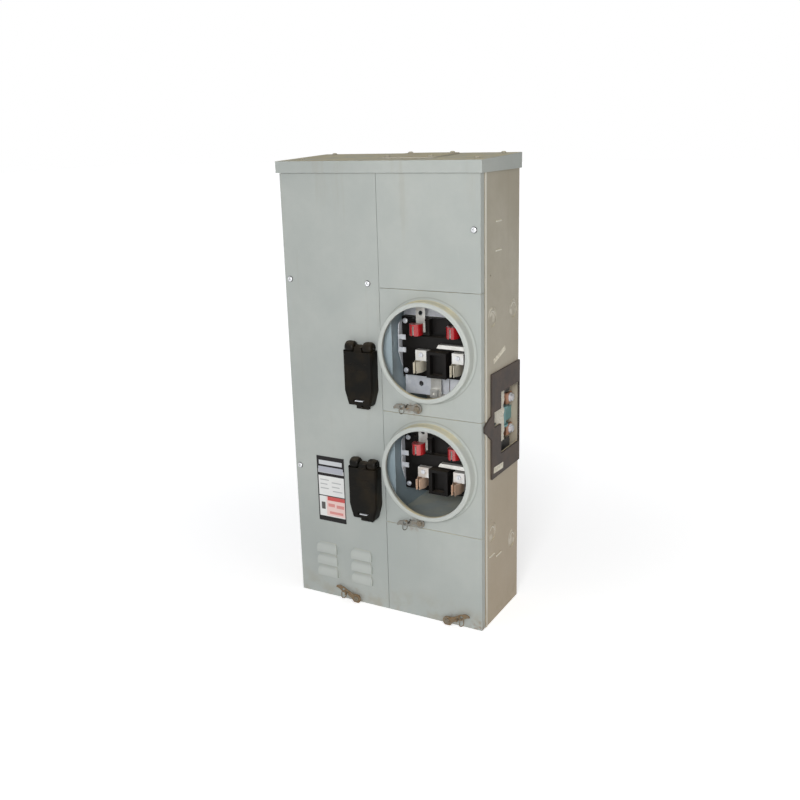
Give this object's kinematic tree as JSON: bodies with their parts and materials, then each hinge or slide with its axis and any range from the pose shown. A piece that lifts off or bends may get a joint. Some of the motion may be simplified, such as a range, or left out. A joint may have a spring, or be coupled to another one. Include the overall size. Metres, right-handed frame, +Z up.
{
  "type": "meter socket enclosure",
  "caption": "Tall sheet-metal enclosure with round plug-in meter sockets stacked beside a breaker compartment, rain cap, hinged breaker flaps, lift-off covers and seal latches.",
  "frame": {"origin": "middle of the case's bottom face", "axes": "+X right as seen from the front, +Y back towards the wall, +Z up; the covers face -Y"},
  "size_m": [0.3966, 0.1824, 0.8324],
  "materials": {
    "steel_green": "weathered satin enamel",
    "steel_beige": "weathered satin enamel",
    "gasket": "matt",
    "plated": "zinc plated",
    "plated_alu": "tin plated",
    "copper": "bare copper",
    "black_moulded": "matt",
    "brown_moulded": "matt",
    "red_moulded": "glossy",
    "teal_moulded": "satin",
    "fibre_sheet": "matt",
    "label": "matt film",
    "rusty_steel": "rusted plating"
  },
  "bodies": {
    "case": {"case_wrap": "steel_beige", "top_wall": "steel_beige", "bottom_wall": "steel_beige", "rain_cap": "steel_green", "hub_plate": "steel_beige", "case_screws": "plated", "partition_wall": "steel_green", "centre_rail": "steel_green", "cross_rails": "steel_green", "side_knockouts": "steel_beige", "bus_window_frame": "gasket", "side_closing_plate": "steel_beige", "cover_staples": "plated", "upper_support_tray": "plated", "lower_support_tray": "plated", "upper_socket_block": "black_moulded", "lower_socket_block": "black_moulded", "upper_line_jaws": "plated_alu", "lower_line_jaws": "plated_alu", "upper_load_jaws": "plated_alu", "lower_load_jaws": "copper", "upper_jaw_caps": "red_moulded", "lower_jaw_caps": "red_moulded", "socket_screws": "plated", "cross_straps": "plated_alu", "load_straps": "copper", "lower_shelf": "steel_green", "bus_bars": "copper", "neutral_bar": "plated_alu", "bus_barrier": "teal_moulded", "bus_insulator": "fibre_sheet", "bus_bolts": "plated", "line_risers": "plated_alu", "breaker_brackets": "plated", "upper_breaker": "black_moulded", "lower_breaker": "black_moulded"},
    "upper_breaker_handle": {"upper_breaker_handle": "black_moulded"},
    "lower_breaker_handle": {"lower_breaker_handle": "black_moulded"},
    "breaker_cover": {"breaker_cover": "steel_green", "breaker_cover_screws": "plated", "rating_plate": "label", "upper_flap_bezel": "brown_moulded", "lower_flap_bezel": "brown_moulded", "flap_pins": "plated", "flap_hasps": "plated"},
    "upper_flap": {"upper_flap": "brown_moulded"},
    "lower_flap": {"lower_flap": "brown_moulded"},
    "top_blank_cover": {"top_blank_cover": "steel_green", "top_cover_screw": "plated"},
    "upper_meter_cover": {"upper_meter_cover": "steel_green"},
    "lower_meter_cover": {"lower_meter_cover": "steel_green"},
    "bottom_blank_cover": {"bottom_blank_cover": "steel_green"},
    "upper_latch": {"upper_latch": "rusty_steel"},
    "upper_seal_loop": {"upper_seal_loop": "rusty_steel"},
    "lower_latch": {"lower_latch": "rusty_steel"},
    "lower_seal_loop": {"lower_seal_loop": "rusty_steel"},
    "left_latch": {"left_latch": "rusty_steel"},
    "left_seal_loop": {"left_seal_loop": "rusty_steel"},
    "bottom_latch": {"bottom_latch": "rusty_steel"},
    "bottom_seal_loop": {"bottom_seal_loop": "rusty_steel"}
  },
  "joints": [
    {"name": "breaker_cover_lift_off", "type": "slide", "parent": "case", "child": "breaker_cover", "axis": [0, -1, 0], "range_m": [0, 0.1]},
    {"name": "top_blank_cover_lift_off", "type": "slide", "parent": "case", "child": "top_blank_cover", "axis": [0, -1, 0], "range_m": [0, 0.1]},
    {"name": "upper_meter_cover_lift_off", "type": "slide", "parent": "case", "child": "upper_meter_cover", "axis": [0, -1, 0], "range_m": [0, 0.1]},
    {"name": "lower_meter_cover_lift_off", "type": "slide", "parent": "case", "child": "lower_meter_cover", "axis": [0, -1, 0], "range_m": [0, 0.1]},
    {"name": "bottom_blank_cover_lift_off", "type": "slide", "parent": "case", "child": "bottom_blank_cover", "axis": [0, -1, 0], "range_m": [0, 0.1]},
    {"name": "upper_flap_hinge", "type": "hinge", "parent": "breaker_cover", "child": "upper_flap", "pos_m": [-0.034, -0.0912, 0.504], "axis": [-1, 0, 0], "range_deg": [0, 110]},
    {"name": "upper_breaker_switch", "type": "hinge", "parent": "case", "child": "upper_breaker_handle", "pos_m": [-0.034, -0.074, 0.454], "axis": [1, 0, 0], "range_deg": [0, 36]},
    {"name": "lower_flap_hinge", "type": "hinge", "parent": "breaker_cover", "child": "lower_flap", "pos_m": [-0.034, -0.0912, 0.288], "axis": [-1, 0, 0], "range_deg": [0, 110]},
    {"name": "lower_breaker_switch", "type": "hinge", "parent": "case", "child": "lower_breaker_handle", "pos_m": [-0.034, -0.074, 0.238], "axis": [1, 0, 0], "range_deg": [0, 36]},
    {"name": "upper_latch_pivot", "type": "hinge", "parent": "upper_meter_cover", "child": "upper_latch", "pos_m": [0.074, -0.0857, 0.403], "axis": [0, -1, 0], "range_deg": [0, 35]},
    {"name": "upper_seal_loop_swing", "type": "hinge", "parent": "upper_latch", "child": "upper_seal_loop", "pos_m": [0.043, -0.0857, 0.4012], "axis": [0, 1, 0], "range_deg": [-20, 20]},
    {"name": "lower_latch_pivot", "type": "hinge", "parent": "lower_meter_cover", "child": "lower_latch", "pos_m": [0.074, -0.0857, 0.189], "axis": [0, -1, 0], "range_deg": [0, 60]},
    {"name": "lower_seal_loop_swing", "type": "hinge", "parent": "lower_latch", "child": "lower_seal_loop", "pos_m": [0.0433, -0.0857, 0.18289], "axis": [0, 1, 0], "range_deg": [-20, 20]},
    {"name": "left_latch_pivot", "type": "hinge", "parent": "breaker_cover", "child": "left_latch", "pos_m": [-0.067, -0.0857, 0.008], "axis": [0, 1, 0], "range_deg": [0, 40]},
    {"name": "left_seal_loop_swing", "type": "hinge", "parent": "left_latch", "child": "left_seal_loop", "pos_m": [-0.0951, -0.0857, 0.0193], "axis": [0, 1, 0], "range_deg": [-20, 20]},
    {"name": "bottom_latch_pivot", "type": "hinge", "parent": "bottom_blank_cover", "child": "bottom_latch", "pos_m": [0.127, -0.0857, 0.008], "axis": [0, -1, 0], "range_deg": [0, 60]},
    {"name": "bottom_seal_loop_swing", "type": "hinge", "parent": "bottom_latch", "child": "bottom_seal_loop", "pos_m": [0.1551, -0.0857, 0.0193], "axis": [0, 1, 0], "range_deg": [-20, 20]}
  ]
}
